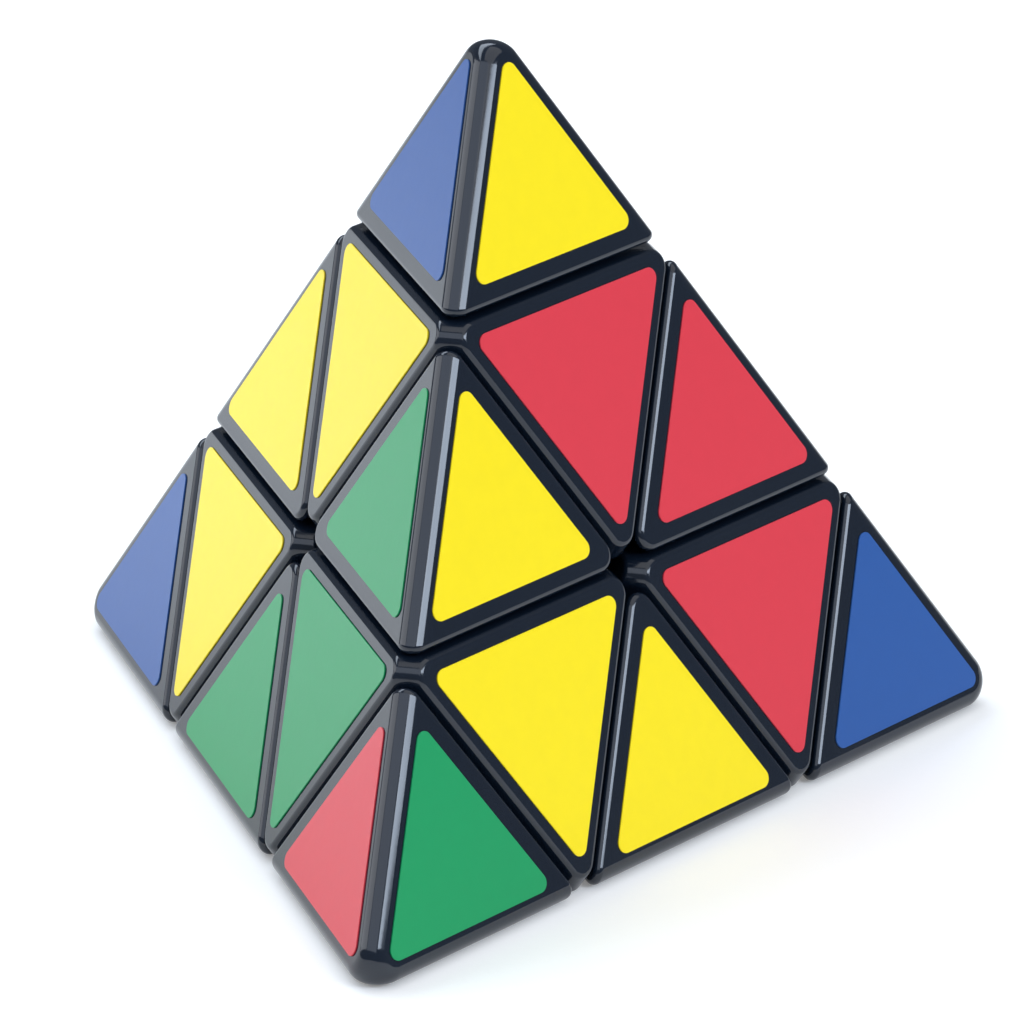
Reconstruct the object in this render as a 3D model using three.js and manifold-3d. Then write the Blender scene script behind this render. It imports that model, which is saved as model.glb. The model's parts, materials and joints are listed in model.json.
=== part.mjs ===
// Pyramid twisty puzzle: a tetrahedron with four turning layers and four turning tips.
// Millimetres, +Z up. The origin is the centre of the core, where the four turning axes meet.
// One axis runs from the core to each corner: top, left, right and front.

import * as THREE from 'three';
import { ConvexGeometry } from 'three/addons/geometries/ConvexGeometry.js';
import { mergeVertices } from 'three/addons/utils/BufferGeometryUtils.js';
import Module from 'manifold-3d';

const wasm = await Module();
wasm.setup();

// ---- Driving dimensions --------------------------------------------------------------------

const EDGE = 100; // edge of the sharp tetrahedron that every outer face lies on
const FACE_DISTANCE = EDGE / Math.sqrt(24); // core centre to an outer face
const CORNER_DISTANCE = 3 * FACE_DISTANCE; // core centre to a sharp corner
const LAYER_CUT = FACE_DISTANCE / 3; // core centre to the plane that a layer turns on
const TIP_CUT = (5 * FACE_DISTANCE) / 3; // core centre to the plane that a tip turns on

const LAYER_GAP = 0.4; // between two layers
const TIP_GAP = 0.5; // between a tip and the axial piece under it
const RIDGE_RADIUS = 1.6; // rounding of the puzzle's long ridges
const CAP_RADIUS = 3.25; // domed end of a tip
const WALL_RADIUS = 1.9; // rounding of a piece's outline where six pieces meet on a face
const SEAM_RADIUS = 0.65; // rounding of the edges along the seams

const CORE_RADIUS = 10; // ball that the four arms grow from
const FOOT_INNER = 10.3; // an edge piece's foot slides between these two spheres
const FOOT_OUTER = 15;
const HOLLOW_RADIUS = 15.3; // the outer pieces stop at this sphere
const FOOT_GAP = 0.2; // from each side of a foot to the plane through the core centre

const POST_RADIUS = 1.7; // arm of the core, which an axial piece turns on
const POST_END = 17.2;
const PILOT_RADIUS = 1.2; // screw hole in the arm
const PILOT_DEPTH = 8;
const STEM_START = 10.35; // an axial piece's stem, round the arm
const STEM_END = 17;
const STEM_SLOPE = Math.sqrt(1 / 8); // keeps the stem out of every foot's path
const STEM_CLEARANCE = 0.265;
const BORE_RADIUS = 2;
const POCKET_RADIUS = 2.9; // spring pocket, open at the collar
const POCKET_START = 17.6;

const COLLAR_RADIUS = 3.8; // collar that a tip snaps over
const SNAP_RADIUS = 4.3;
const SNAP_START = TIP_CUT + 2.1;
const COLLAR_END = TIP_CUT + 3.3;
const TIP_HOLE_RADIUS = 4.1;
const TIP_CHAMBER_RADIUS = 4.6;
const TIP_CHAMBER_START = TIP_CUT + 1.8;
const TIP_CHAMBER_END = TIP_CUT + 3.7;
const TIP_CORING_END = TIP_CUT + 16.5; // point of the tapered coring above the chamber

const SHANK_RADIUS = 0.9;
const SHANK_START = 8.6;
const HEAD_RADIUS = 2.6;
const HEAD_START = 24.6;
const HEAD_RIM = 25.6;
const HEAD_TOP = 26.2;
const RECESS = { length: 3, width: 0.7, depth: 0.9 };

const SPRING_RADIUS = 2.35; // to the middle of the wire
const SPRING_WIRE = 0.25; // wire radius
const SPRING_START = 18.2;
const SPRING_END = 24.05;
const SPRING_TURNS = 4;
const SPRING_STEPS = 10; // steps in each turn
const SPRING_SIDES = 5;

const STICKER_THICKNESS = 0.14;
const STICKER_LIFT = 0.06; // between a sticker and the face under it
const STICKER_SIDE = { tip: 23.8, edge: 24.2, axial: 27.5 }; // to the sharp corners
const STICKER_CORNER = 1; // corner radius
const STICKER_CORNER_STEPS = 3;

const TURNED_SIDES = 14;
const SPHERE_DETAIL = 4;
const ROUND_STEPS = 4; // in the rounding of a ridge, a wall or a cap
const SEAM_STEPS = 2;

// ---- Corners, edges and faces of the tetrahedron -------------------------------------------

const AXIS = {
  top: new THREE.Vector3(0, 0, 1),
  left: new THREE.Vector3(-Math.sqrt(2 / 3), Math.sqrt(2) / 3, -1 / 3),
  right: new THREE.Vector3(Math.sqrt(2 / 3), Math.sqrt(2) / 3, -1 / 3),
  front: new THREE.Vector3(0, -Math.sqrt(8) / 3, -1 / 3),
};
const CORNERS = Object.keys(AXIS);

const EDGES = [
  ['top', 'left'],
  ['top', 'right'],
  ['top', 'front'],
  ['left', 'right'],
  ['left', 'front'],
  ['right', 'front'],
];

// Each outer face lies opposite one corner.
const FACE_OPPOSITE = { left: 'right_face', right: 'left_face', front: 'back_face', top: 'bottom_face' };

// The colour of each sticker in the part-scrambled state that the puzzle stands in.
const COLOUR_PLAN = {
  right_face: {
    yellow: ['tip_top', 'edge_top_front', 'axial_front', 'edge_right_front'],
    red: ['axial_top', 'edge_top_right', 'axial_right'],
    green: ['tip_front'],
    blue: ['tip_right'],
  },
  left_face: {
    yellow: ['axial_top', 'edge_top_left', 'axial_left'],
    green: ['edge_top_front', 'axial_front', 'edge_left_front'],
    blue: ['tip_top', 'tip_left'],
    red: ['tip_front'],
  },
  back_face: {
    blue: ['axial_top', 'edge_top_left', 'edge_top_right', 'edge_left_right', 'axial_left', 'axial_right'],
    green: ['tip_left', 'tip_right'],
    red: ['tip_top'],
  },
  bottom_face: {
    red: ['tip_right', 'axial_front', 'edge_left_front', 'edge_right_front'],
    green: ['axial_left', 'axial_right', 'edge_left_right'],
    yellow: ['tip_left', 'tip_front'],
  },
};

const FINISH = {
  black: { color: '#1d242c', roughness: 0.25, metalness: 0 },
  steel: { color: '#a9adb2', roughness: 0.35, metalness: 1 },
  yellow: { color: '#ffed1f', roughness: 0.4, metalness: 0 },
  red: { color: '#e94a56', roughness: 0.4, metalness: 0 },
  blue: { color: '#3f63a8', roughness: 0.4, metalness: 0 },
  green: { color: '#00a066', roughness: 0.4, metalness: 0 },
};

// ---- Making solids -------------------------------------------------------------------------

function solidFrom(geometry) {
  const bare = geometry.clone();
  bare.deleteAttribute('normal');
  bare.deleteAttribute('uv');
  const merged = mergeVertices(bare);
  const triangles = [];
  for (let i = 0; i < merged.index.count; i += 3) {
    const [a, b, c] = [0, 1, 2].map((k) => merged.index.getX(i + k));
    if (a !== b && b !== c && c !== a) triangles.push(a, b, c);
  }
  return new wasm.Manifold(
    new wasm.Mesh({
      numProp: 3,
      vertProperties: new Float32Array(merged.attributes.position.array),
      triVerts: new Uint32Array(triangles),
    }),
  );
}

function geometryFrom(solid) {
  const mesh = solid.getMesh();
  const geometry = new THREE.BufferGeometry();
  geometry.setAttribute('position', new THREE.BufferAttribute(mesh.vertProperties, 3));
  geometry.setIndex(new THREE.BufferAttribute(mesh.triVerts, 1));
  geometry.computeVertexNormals();
  return geometry;
}

function namedMesh(name, geometry, finish) {
  const mesh = new THREE.Mesh(geometry, new THREE.MeshStandardMaterial(FINISH[finish]));
  mesh.name = name;
  return mesh;
}

// The half space on the near side of a plane at right angles to an axis.
function below(axis, distance) {
  return { normal: axis.clone(), distance };
}

function above(axis, distance) {
  return { normal: axis.clone().negate(), distance: -distance };
}

function meetingPoint([p, q, r]) {
  const qr = q.normal.clone().cross(r.normal);
  const determinant = p.normal.dot(qr);
  if (Math.abs(determinant) < 1e-6) return null;
  return qr
    .multiplyScalar(p.distance)
    .addScaledVector(r.normal.clone().cross(p.normal), q.distance)
    .addScaledVector(p.normal.clone().cross(q.normal), r.distance)
    .divideScalar(determinant);
}

function threesomes(items) {
  const result = [];
  for (let i = 0; i < items.length; i++) {
    for (let j = i + 1; j < items.length; j++) {
      for (let k = j + 1; k < items.length; k++) result.push([items[i], items[j], items[k]]);
    }
  }
  return result;
}

function inset({ normal, distance }, depth) {
  return { normal, distance: distance - depth };
}

// Unit vectors in even steps of angle from one direction to another.
function fan(from, to, steps) {
  const angle = from.angleTo(to);
  const directions = [];
  for (let i = 0; i <= steps; i++) {
    directions.push(
      new THREE.Vector3()
        .addScaledVector(from, Math.sin(angle * (1 - i / steps)))
        .addScaledVector(to, Math.sin((angle * i) / steps))
        .divideScalar(Math.sin(angle)),
    );
  }
  return directions;
}

// Surface points where a rounded edge between two planes runs out into an end plane,
// with a small fillet round its outline.
function roundedEnd(first, second, radius, end) {
  const rim = radius - SEAM_RADIUS;
  const start = meetingPoint([inset(first, radius), inset(second, radius), inset(end, SEAM_RADIUS)]);
  const along = first.normal.clone().cross(second.normal).normalize();
  const points = [];
  for (const out of fan(first.normal, second.normal, ROUND_STEPS)) {
    const slide = (-rim * out.dot(end.normal)) / along.dot(end.normal);
    const centre = start.clone().addScaledVector(out, rim).addScaledVector(along, slide);
    for (const lean of fan(out, end.normal, SEAM_STEPS)) {
      points.push(centre.clone().addScaledVector(lean, SEAM_RADIUS));
    }
  }
  return points;
}

// Surface points of a face's rounded corner between two side planes, with a small fillet.
function roundedCorner(face, sides, radius) {
  const rim = radius - SEAM_RADIUS;
  const facePlane = inset(face, SEAM_RADIUS);
  const outlines = sides.map((side) => {
    const lean = side.normal.dot(face.normal);
    const scale = Math.sqrt(1 - lean * lean);
    const normal = side.normal.clone().addScaledVector(face.normal, -lean).divideScalar(scale);
    const distance = (side.distance - SEAM_RADIUS - lean * facePlane.distance) / scale;
    return { normal, distance: distance - rim };
  });
  const centre = meetingPoint([facePlane, ...outlines]);
  const outward = fan(outlines[0].normal, outlines[1].normal, ROUND_STEPS);
  const walls = fan(sides[0].normal, sides[1].normal, ROUND_STEPS);
  return outward.flatMap((direction, i) => {
    const corner = centre.clone().addScaledVector(direction, rim);
    return fan(face.normal, walls[i], SEAM_STEPS).map((lean) => {
      return corner.clone().addScaledVector(lean, SEAM_RADIUS);
    });
  });
}

// Surface points of the dome that ends a tip: a ball that touches the three ridges from inside,
// and rolls over into each face with the ridges' own radius.
function domedCap(faces) {
  const ballRadius = CAP_RADIUS - RIDGE_RADIUS;
  const sharp = meetingPoint(faces.map((face) => inset(face, RIDGE_RADIUS)));
  const apex = faces.reduce((sum, face) => sum.add(face.normal), new THREE.Vector3()).normalize();
  const centre = sharp.clone().addScaledVector(apex, -ballRadius * Math.sqrt(3));
  const points = [centre.clone().addScaledVector(apex, CAP_RADIUS)];
  for (const [i, face] of faces.entries()) {
    const [before, after] = [1, 2].map((k) => {
      return face.normal.clone().add(faces[(i + k) % 3].normal).normalize();
    });
    const half = face.normal.angleTo(before);
    const flat = (direction) => direction.clone().addScaledVector(face.normal, -Math.cos(half)).normalize();
    for (const around of fan(flat(before), flat(after), ROUND_STEPS)) {
      const out = face.normal.clone().multiplyScalar(Math.cos(half)).addScaledVector(around, Math.sin(half));
      points.push(centre.clone().addScaledVector(fan(apex, out, 2)[1], CAP_RADIUS));
      for (const lean of fan(out, face.normal, ROUND_STEPS / 2)) {
        points.push(
          centre.clone().addScaledVector(out, ballRadius).addScaledVector(lean, RIDGE_RADIUS),
        );
      }
    }
  }
  return points;
}

function hull(points) {
  return solidFrom(new ConvexGeometry(points));
}

function sharpSolid(planes) {
  const points = [];
  for (const trio of threesomes(planes)) {
    const corner = meetingPoint(trio);
    if (!corner) continue;
    if (planes.every(({ normal, distance }) => normal.dot(corner) <= distance + 1e-6)) points.push(corner);
  }
  return hull(points);
}

function ball(radius) {
  return solidFrom(new THREE.IcosahedronGeometry(radius, SPHERE_DETAIL));
}

// A round solid about the top axis, from points of [radius, height] that start and end on the axis.
function turned(profile) {
  const points = profile.map(([radius, height]) => new THREE.Vector2(radius, height));
  const geometry = new THREE.LatheGeometry(points, TURNED_SIDES);
  geometry.rotateX(Math.PI / 2);
  return solidFrom(geometry);
}

function rod(radius, start, end) {
  return turned([
    [0, start],
    [radius, start],
    [radius, end],
    [0, end],
  ]);
}

function outerFaces(corners) {
  return corners.map((corner) => above(AXIS[corner], -FACE_DISTANCE));
}

// ---- Core ----------------------------------------------------------------------------------

function coreGeometry() {
  let core = ball(CORE_RADIUS);
  const post = rod(POST_RADIUS, CORE_RADIUS / 2, POST_END);
  const pilot = rod(PILOT_RADIUS, PILOT_DEPTH, POST_END + 1);
  for (const corner of CORNERS) {
    const turn = turnToCorner(corner);
    core = core.add(turnedSolid(post, turn)).subtract(turnedSolid(pilot, turn));
  }
  return geometryFrom(core);
}

function turnedSolid(solid, quaternion) {
  return solidFrom(geometryFrom(solid).applyQuaternion(quaternion));
}

// ---- Pieces on the top axis ----------------------------------------------------------------

// The body has three outer faces, a face towards the tip, one towards the core and three
// towards the other layers. Six corners: three on ridges and three in the middle of faces.
function octahedronPoints() {
  const others = ['left', 'right', 'front'];
  const towardsTip = below(AXIS.top, TIP_CUT - TIP_GAP / 2);
  const towardsCore = above(AXIS.top, LAYER_CUT + LAYER_GAP / 2);
  const towardsLayer = (corner) => below(AXIS[corner], LAYER_CUT - LAYER_GAP / 2);
  return others.flatMap((corner) => {
    const neighbours = others.filter((other) => other !== corner);
    const [outer] = outerFaces([corner]);
    const centreSides = neighbours.map(towardsLayer);
    return [
      ...neighbours.flatMap((other) => {
        return roundedCorner(outer, [towardsTip, towardsLayer(other)], WALL_RADIUS);
      }),
      ...roundedCorner(outer, centreSides, WALL_RADIUS),
      ...roundedCorner(towardsCore, centreSides, WALL_RADIUS),
    ];
  });
}

// An octahedral piece with a stem round the core's arm and a collar for the tip.
function axialGeometry() {
  const body = hull(octahedronPoints());
  const stem = turned([
    [0, STEM_START],
    [STEM_START * STEM_SLOPE - STEM_CLEARANCE, STEM_START],
    [STEM_END * STEM_SLOPE - STEM_CLEARANCE, STEM_END],
    [0, STEM_END],
  ]);
  const collar = turned([
    [0, TIP_CUT - 2],
    [COLLAR_RADIUS, TIP_CUT - 2],
    [COLLAR_RADIUS, SNAP_START],
    [SNAP_RADIUS, SNAP_START + 0.2],
    [SNAP_RADIUS, SNAP_START + 0.6],
    [COLLAR_RADIUS - 0.1, COLLAR_END],
    [0, COLLAR_END],
  ]);
  return geometryFrom(
    body
      .subtract(ball(HOLLOW_RADIUS))
      .add(stem)
      .add(collar)
      .subtract(rod(BORE_RADIUS, STEM_START - 1, POCKET_START + 1))
      .subtract(rod(POCKET_RADIUS, POCKET_START, COLLAR_END + 1)),
  );
}

// A small tetrahedron with a socket that snaps over the collar.
function tipGeometry() {
  const faces = outerFaces(['left', 'right', 'front']);
  const base = above(AXIS.top, TIP_CUT + TIP_GAP / 2);
  const body = hull([
    ...domedCap(faces),
    ...faces.flatMap((face, i) => roundedEnd(face, faces[(i + 1) % 3], RIDGE_RADIUS, base)),
  ]);
  const socket = turned([
    [0, TIP_CUT - 1],
    [TIP_HOLE_RADIUS, TIP_CUT - 1],
    [TIP_HOLE_RADIUS, TIP_CHAMBER_START],
    [TIP_CHAMBER_RADIUS, TIP_CHAMBER_START],
    [TIP_CHAMBER_RADIUS, TIP_CHAMBER_END],
    [0, TIP_CORING_END],
  ]);
  return geometryFrom(body.subtract(socket));
}

// A pan-head screw with a cross recess, which holds the spring and the axial piece on the arm.
function screwGeometry() {
  const blank = turned([
    [0, SHANK_START],
    [SHANK_RADIUS * 0.4, SHANK_START],
    [SHANK_RADIUS, SHANK_START + 1.2],
    [SHANK_RADIUS, HEAD_START],
    [HEAD_RADIUS, HEAD_START],
    [HEAD_RADIUS, HEAD_RIM],
    [HEAD_RADIUS * 0.7, HEAD_TOP],
    [0, HEAD_TOP],
  ]);
  const slot = new THREE.BoxGeometry(RECESS.length, RECESS.width, 2 * RECESS.depth);
  slot.translate(0, 0, HEAD_TOP);
  const crossSlot = slot.clone().rotateZ(Math.PI / 2);
  return geometryFrom(blank.subtract(solidFrom(slot)).subtract(solidFrom(crossSlot)));
}

class Helix extends THREE.Curve {
  getPoint(t) {
    const angle = 2 * Math.PI * SPRING_TURNS * t;
    return new THREE.Vector3(
      SPRING_RADIUS * Math.cos(angle),
      SPRING_RADIUS * Math.sin(angle),
      THREE.MathUtils.lerp(SPRING_START, SPRING_END, t),
    );
  }
}

function springGeometry() {
  const outline = [];
  for (let i = 0; i < SPRING_SIDES; i++) {
    const angle = (2 * Math.PI * i) / SPRING_SIDES;
    outline.push(new THREE.Vector2(Math.cos(angle), Math.sin(angle)).multiplyScalar(SPRING_WIRE));
  }
  const coil = new THREE.ExtrudeGeometry(new THREE.Shape(outline), {
    steps: SPRING_TURNS * SPRING_STEPS,
    extrudePath: new Helix(),
  });
  return geometryFrom(solidFrom(coil));
}

// ---- Edge piece, between the top and front corners -----------------------------------------

// An outer tetrahedron joined by a curved neck to a foot that slides in the hollow.
function edgeGeometry() {
  const cuts = ['top', 'front'];
  const others = ['left', 'right'];
  const faces = outerFaces(others);
  const sides = cuts.map((corner) => above(AXIS[corner], LAYER_CUT + LAYER_GAP / 2));
  const head = hull([
    ...sides.flatMap((side) => roundedEnd(...faces, RIDGE_RADIUS, side)),
    ...faces.flatMap((face) => roundedEnd(...sides, WALL_RADIUS, face)),
  ]);
  const wedge = sharpSolid([
    ...cuts.map((corner) => above(AXIS[corner], FOOT_GAP)),
    ...others.map((corner) => below(AXIS[corner], -FOOT_GAP)),
    ...faces,
  ]);
  const neck = head.intersect(wedge).intersect(ball(HOLLOW_RADIUS + 0.3));
  const foot = wedge.intersect(ball(FOOT_OUTER)).subtract(ball(FOOT_INNER));
  return geometryFrom(head.subtract(ball(HOLLOW_RADIUS)).add(neck).add(foot));
}

// ---- Stickers ------------------------------------------------------------------------------

// A thin triangle with rounded corners, centred on the origin, with one corner towards +Y.
function stickerGeometry(side) {
  const reach = side / Math.sqrt(3) - 2 * STICKER_CORNER;
  const outline = [];
  for (let i = 0; i < 3; i++) {
    const facing = Math.PI / 2 + (2 * Math.PI * i) / 3;
    for (let k = 0; k <= STICKER_CORNER_STEPS; k++) {
      const angle = facing + (2 * Math.PI / 3) * (k / STICKER_CORNER_STEPS - 0.5);
      outline.push(
        new THREE.Vector2(
          reach * Math.cos(facing) + STICKER_CORNER * Math.cos(angle),
          reach * Math.sin(facing) + STICKER_CORNER * Math.sin(angle),
        ),
      );
    }
  }
  const flat = new THREE.ExtrudeGeometry(new THREE.Shape(outline), {
    depth: STICKER_THICKNESS,
    bevelEnabled: false,
  });
  return geometryFrom(solidFrom(flat));
}

// ---- Placing -------------------------------------------------------------------------------

// A turn that takes the Z axis to one direction and the Y axis as near as it can to another.
function turnTo(zDirection, yDirection) {
  const z = zDirection.clone().normalize();
  const y = yDirection.clone().addScaledVector(z, -yDirection.dot(z)).normalize();
  return new THREE.Quaternion().setFromRotationMatrix(
    new THREE.Matrix4().makeBasis(y.clone().cross(z), y, z),
  );
}

// The turn that takes a piece from the top axis to a corner's axis.
function turnToCorner(corner) {
  const neighbour = corner === 'front' ? 'top' : 'front';
  const fromTop = turnTo(AXIS.top, AXIS.front);
  return turnTo(AXIS[corner], AXIS[neighbour]).multiply(fromTop.invert());
}

// The turn that takes an edge piece from between top and front to between two other corners.
function turnToEdge([first, second]) {
  const between = (a, b) => AXIS[a].clone().add(AXIS[b]);
  const across = (a, b) => AXIS[a].clone().sub(AXIS[b]);
  const fromTopFront = turnTo(between('top', 'front'), across('top', 'front'));
  return turnTo(between(first, second), across(first, second)).multiply(fromTopFront.invert());
}

// The centre of a sticker's cell, from how much each of a face's corners draws it.
function cellCentre(weights) {
  const centre = new THREE.Vector3();
  for (const [corner, weight] of Object.entries(weights)) {
    centre.addScaledVector(AXIS[corner], weight * CORNER_DISTANCE);
  }
  return centre;
}

function placedSticker(piece, opposite, geometry, weights, towardsFaceCentre) {
  const face = FACE_OPPOSITE[opposite];
  const plan = COLOUR_PLAN[face];
  const colour = Object.keys(plan).find((name) => plan[name].includes(piece));
  const normal = AXIS[opposite].clone().negate();
  const centre = cellCentre(weights);
  const fromFaceCentre = centre.clone().addScaledVector(normal, -FACE_DISTANCE);
  const pointing = towardsFaceCentre ? fromFaceCentre.negate() : fromFaceCentre;
  const sticker = namedMesh(`sticker_${piece}_${face}`, geometry, colour);
  sticker.quaternion.copy(turnTo(normal, pointing));
  sticker.position.copy(centre).addScaledVector(normal, STICKER_LIFT);
  return sticker;
}

function othersThan(corners) {
  return CORNERS.filter((corner) => !corners.includes(corner));
}

// ---- The whole puzzle ----------------------------------------------------------------------

const puzzle = new THREE.Group();
puzzle.add(namedMesh('core', coreGeometry(), 'black'));

const cornerPieces = [
  { prefix: 'axial', geometry: axialGeometry(), finish: 'black' },
  { prefix: 'tip', geometry: tipGeometry(), finish: 'black' },
  { prefix: 'screw', geometry: screwGeometry(), finish: 'steel' },
  { prefix: 'spring', geometry: springGeometry(), finish: 'steel' },
];
for (const corner of CORNERS) {
  const arm = new THREE.Group();
  arm.quaternion.copy(turnToCorner(corner));
  for (const { prefix, geometry, finish } of cornerPieces) {
    arm.add(namedMesh(`${prefix}_${corner}`, geometry, finish));
  }
  puzzle.add(arm);
}

const edgeShape = edgeGeometry();
for (const pair of EDGES) {
  const edge = namedMesh(`edge_${pair.join('_')}`, edgeShape, 'black');
  edge.quaternion.copy(turnToEdge(pair));
  puzzle.add(edge);
}

const tipSticker = stickerGeometry(STICKER_SIDE.tip);
const axialSticker = stickerGeometry(STICKER_SIDE.axial);
const edgeSticker = stickerGeometry(STICKER_SIDE.edge);
for (const corner of CORNERS) {
  for (const opposite of othersThan([corner])) {
    const [b, c] = othersThan([corner, opposite]);
    const tipCell = { [corner]: 7 / 9, [b]: 1 / 9, [c]: 1 / 9 };
    const axialCell = { [corner]: 5 / 9, [b]: 2 / 9, [c]: 2 / 9 };
    puzzle.add(placedSticker(`tip_${corner}`, opposite, tipSticker, tipCell, false));
    puzzle.add(placedSticker(`axial_${corner}`, opposite, axialSticker, axialCell, true));
  }
}
for (const pair of EDGES) {
  for (const opposite of othersThan(pair)) {
    const [third] = othersThan([...pair, opposite]);
    const edgeCell = { [pair[0]]: 4 / 9, [pair[1]]: 4 / 9, [third]: 1 / 9 };
    puzzle.add(placedSticker(`edge_${pair.join('_')}`, opposite, edgeSticker, edgeCell, true));
  }
}

export default puzzle;
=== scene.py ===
# %% [markdown]
# # A pyramid twisty puzzle
#
# The puzzle is a tetrahedron 94 mm wide. Four layers and four tips turn about a hidden core.
# Fourteen black plastic pieces show from outside: four tips, four axial pieces and six edge
# pieces. They carry 36 triangles of coloured vinyl film.
#
# The CAD model fixes every size and place, and comes in first as a frame that is never changed.
# Each step below builds one kind of piece on that frame, finer and with its real finish.

import json
from itertools import combinations
from math import cos, pi, radians, sin, sqrt

import bmesh
import bpy
from mathutils import Matrix, Vector


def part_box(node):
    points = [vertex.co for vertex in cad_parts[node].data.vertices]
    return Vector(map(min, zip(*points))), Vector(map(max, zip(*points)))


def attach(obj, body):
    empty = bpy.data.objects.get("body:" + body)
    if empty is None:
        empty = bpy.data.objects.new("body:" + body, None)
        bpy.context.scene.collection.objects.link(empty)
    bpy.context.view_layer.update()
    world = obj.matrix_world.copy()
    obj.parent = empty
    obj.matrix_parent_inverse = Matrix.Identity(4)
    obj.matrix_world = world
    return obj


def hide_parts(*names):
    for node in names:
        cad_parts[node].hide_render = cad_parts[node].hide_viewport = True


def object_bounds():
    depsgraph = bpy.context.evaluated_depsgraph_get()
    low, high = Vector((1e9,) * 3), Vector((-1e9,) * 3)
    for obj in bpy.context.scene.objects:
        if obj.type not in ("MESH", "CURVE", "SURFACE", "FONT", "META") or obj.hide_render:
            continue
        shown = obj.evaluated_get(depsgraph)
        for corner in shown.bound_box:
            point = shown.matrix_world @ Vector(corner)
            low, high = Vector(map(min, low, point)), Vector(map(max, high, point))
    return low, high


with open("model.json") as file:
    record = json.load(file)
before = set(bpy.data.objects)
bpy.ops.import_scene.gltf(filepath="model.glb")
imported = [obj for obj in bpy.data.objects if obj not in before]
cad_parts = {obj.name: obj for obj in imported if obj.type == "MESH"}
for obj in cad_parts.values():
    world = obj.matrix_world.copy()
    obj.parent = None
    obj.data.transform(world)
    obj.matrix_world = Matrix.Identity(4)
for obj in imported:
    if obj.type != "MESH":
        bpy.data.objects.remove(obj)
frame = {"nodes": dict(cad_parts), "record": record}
cad_low, cad_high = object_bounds()
size = [round((high - low) * 1000, 1) for low, high in zip(cad_low, cad_high)]
print("CAD model:", len(frame["nodes"]), "nodes,", size, "mm")

# %% [markdown]
# ## The shape behind all the pieces
#
# The four turning axes run from the core to the corners of the tetrahedron. Every flat of
# every piece lies square to one of these axes: the outer faces, the planes that layers turn on
# and the planes that tips turn on. Each piece could be drawn by hand from its own corners, but
# one list of directions and three distances place everything, and the pieces then fit each
# other exactly. The distance to a face is measured on the CAD model, and the cuts divide the
# edge of the tetrahedron in three.

# %% Axes, faces and cuts
AXIS = {
    "top": Vector((0, 0, 1)),
    "left": Vector((-sqrt(2 / 3), sqrt(2) / 3, -1 / 3)),
    "right": Vector((sqrt(2 / 3), sqrt(2) / 3, -1 / 3)),
    "front": Vector((0, -sqrt(8) / 3, -1 / 3)),
}
CORNERS = list(AXIS)
EDGES = list(combinations(CORNERS, 2))

MM = 0.001  # one millimetre in metres
FACE = -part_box("edge_left_front")[0].z  # core centre to an outer face
LAYER_CUT = FACE / 3
TIP_CUT = FACE * 5 / 3
print("faces at", round(FACE / MM, 2), "mm, cuts at", round(LAYER_CUT / MM, 2), round(TIP_CUT / MM, 2))


# %% Planes
def below(corner, distance):
    """The side of a plane that faces the core, as its outward normal and its distance."""
    return AXIS[corner].copy(), distance


def above(corner, distance):
    """The side of a plane that faces away from the core."""
    return -AXIS[corner], -distance


def inset(plane, depth):
    """The same plane, moved into the solid."""
    normal, distance = plane
    return normal, distance - depth


def outer_faces(corners):
    """The outer faces opposite some corners."""
    return [above(corner, -FACE) for corner in corners]


def others_than(*taken):
    """The corners that are left."""
    return [corner for corner in CORNERS if corner not in taken]


# %% Points and directions
def meeting_point(planes):
    """Where three planes meet."""
    rows = Matrix([normal for normal, _ in planes])
    return rows.inverted() @ Vector([distance for _, distance in planes])


def fan(start, end, steps):
    """Directions in even steps of angle from one direction to another."""
    return [start.slerp(end, i / steps) for i in range(steps + 1)]


# %% [markdown]
# ## Rounded corners and edges
#
# Each piece is a sharp polyhedron whose edges were rounded in the mould with different radii:
# wide on the ridges of the puzzle, small along the seams, and in between where six pieces meet
# in the middle of a face. A bevel modifier gives one width everywhere and pinches where the
# widths differ. Here the roundings are worked out as points instead, and a convex hull is
# stretched over them: between the points it can only make flats and rolled edges, just as a
# mould does.

# %% Radii of the roundings
RIDGE_RADIUS = 1.6 * MM
CAP_RADIUS = 3.25 * MM
WALL_RADIUS = 1.9 * MM
SEAM_RADIUS = 0.65 * MM
ROUND_STEPS = 14
SEAM_STEPS = 6
print("ridges rounded at", RIDGE_RADIUS / MM, "mm, seams at", SEAM_RADIUS / MM, "mm")


# %% The end of a rolled edge
def rounded_end(first, second, radius, end):
    """Where a rolled edge between two planes runs out into an end plane."""
    rim = radius - SEAM_RADIUS
    start = meeting_point([inset(first, radius), inset(second, radius), inset(end, SEAM_RADIUS)])
    along = first[0].cross(second[0]).normalized()
    points = []
    for out in fan(first[0], second[0], ROUND_STEPS):
        slide = -rim * out.dot(end[0]) / along.dot(end[0])
        centre = start + out * rim + along * slide
        points += [centre + lean * SEAM_RADIUS for lean in fan(out, end[0], SEAM_STEPS)]
    return points


# %% The corner of a flat
def rounded_corner(face, sides, radius):
    """The rounded corner of a flat between two side planes."""
    rim = radius - SEAM_RADIUS
    flat = inset(face, SEAM_RADIUS)
    outlines = []
    for normal, distance in sides:
        lean = normal.dot(face[0])
        scale = sqrt(1 - lean * lean)
        across = (normal - face[0] * lean) / scale
        outlines.append((across, (distance - SEAM_RADIUS - lean * flat[1]) / scale - rim))
    centre = meeting_point([flat, *outlines])
    outward = fan(outlines[0][0], outlines[1][0], ROUND_STEPS)
    walls = fan(sides[0][0], sides[1][0], ROUND_STEPS)
    points = []
    for direction, wall in zip(outward, walls):
        corner = centre + direction * rim
        points += [corner + lean * SEAM_RADIUS for lean in fan(face[0], wall, SEAM_STEPS)]
    return points


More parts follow.
